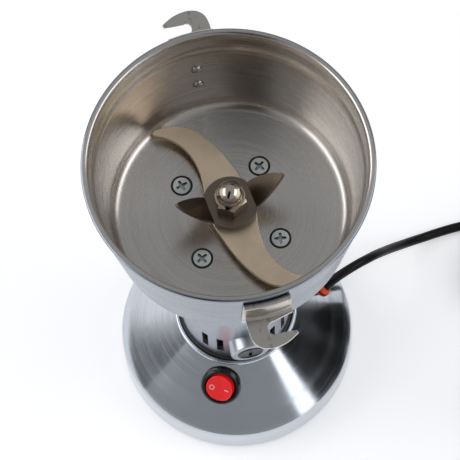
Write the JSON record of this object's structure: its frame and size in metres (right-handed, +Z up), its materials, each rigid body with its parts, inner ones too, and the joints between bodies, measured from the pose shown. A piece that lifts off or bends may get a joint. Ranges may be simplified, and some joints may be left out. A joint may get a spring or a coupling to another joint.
{
  "type": "hammer mill",
  "caption": "Small upright electric grain mill: open steel bowl with spinning blades on a vented motor neck, a conical base with a rocker switch, two lid hooks and a mains lead.",
  "frame": {"origin": "on the shaft's line, on the surface that the feet stand on", "axes": "+Z up along the shaft; -Y is the front, where the switch is"},
  "size_m": [0.238, 0.155, 0.225],
  "materials": {
    "brushed_steel": "brushed stainless steel",
    "satin_steel": "satin stainless steel",
    "polished_steel": "polished stainless steel with fine turning lines",
    "cast_aluminium": "smooth die-cast aluminium",
    "blade_steel": "warm tinted tempered steel",
    "dark_steel": "dark tempered steel",
    "nickel": "nickel plated",
    "zinc": "zinc plated",
    "iron": "laminated iron",
    "copper": "enamelled copper",
    "carbon": "pressed carbon",
    "black_plastic": "glossy black plastic",
    "black_rubber": "matt black rubber",
    "red_plastic": "clear red plastic",
    "orange_rubber": "matt orange-red rubber"
  },
  "bodies": {
    "stand": {"base_shell": "polished_steel", "bearing_bracket": "cast_aluminium", "bottom_plate": "black_plastic", "bowl": "brushed_steel", "bowl_screw_1": "zinc", "bowl_screw_2": "zinc", "bowl_screw_3": "zinc", "bowl_screw_4": "zinc", "bowl_screw_seal_1": "black_rubber", "bowl_screw_seal_2": "black_rubber", "bowl_screw_seal_3": "black_rubber", "bowl_screw_seal_4": "black_rubber", "brush_cap_front": "black_plastic", "brush_cap_rear": "black_plastic", "brush_spring_front": "zinc", "brush_spring_rear": "zinc", "carbon_brush_front": "carbon", "carbon_brush_rear": "carbon", "cord_coil": "black_rubber", "cord_grommet": "orange_rubber", "cord_tie": "black_rubber", "field_coil_1": "copper", "field_coil_2": "copper", "foot_1": "black_rubber", "foot_2": "black_rubber", "foot_3": "black_rubber", "foot_4": "black_rubber", "foot_screw_1": "zinc", "foot_screw_2": "zinc", "foot_screw_3": "zinc", "foot_screw_4": "zinc", "lid_hook_front": "satin_steel", "lid_hook_rear": "satin_steel", "lower_bearing": "polished_steel", "motor_housing": "cast_aluminium", "neck_seal": "black_rubber", "plug_body": "black_rubber", "plug_pin_left": "nickel", "plug_pin_right": "nickel", "power_cord": "black_rubber", "rivet_front_lower": "zinc", "rivet_front_upper": "zinc", "rivet_rear_lower": "zinc", "rivet_rear_upper": "zinc", "shaft_seal": "black_rubber", "stator_core": "iron", "switch_body": "black_plastic", "upper_bearing": "polished_steel"},
    "rotor": {"shaft": "satin_steel", "armature_core": "iron", "armature_winding": "copper", "commutator": "copper", "cooling_fan": "black_plastic", "lower_blade": "blade_steel", "blade_spacer": "satin_steel", "upper_blade": "dark_steel", "blade_nut": "nickel"},
    "rocker": {"switch_rocker": "red_plastic"}
  },
  "joints": [
    {"name": "rotor_spin", "type": "hinge", "parent": "stand", "child": "rotor", "pos_m": [0, 0, 0.1], "axis": [0, 0, 1], "continuous": true},
    {"name": "switch_rock", "type": "hinge", "parent": "stand", "child": "rocker", "pos_m": [-0.00924, -0.03706, 0.03823], "axis": [0.1644, 0.6595, 0.7335], "range_deg": [0, 20]}
  ]
}
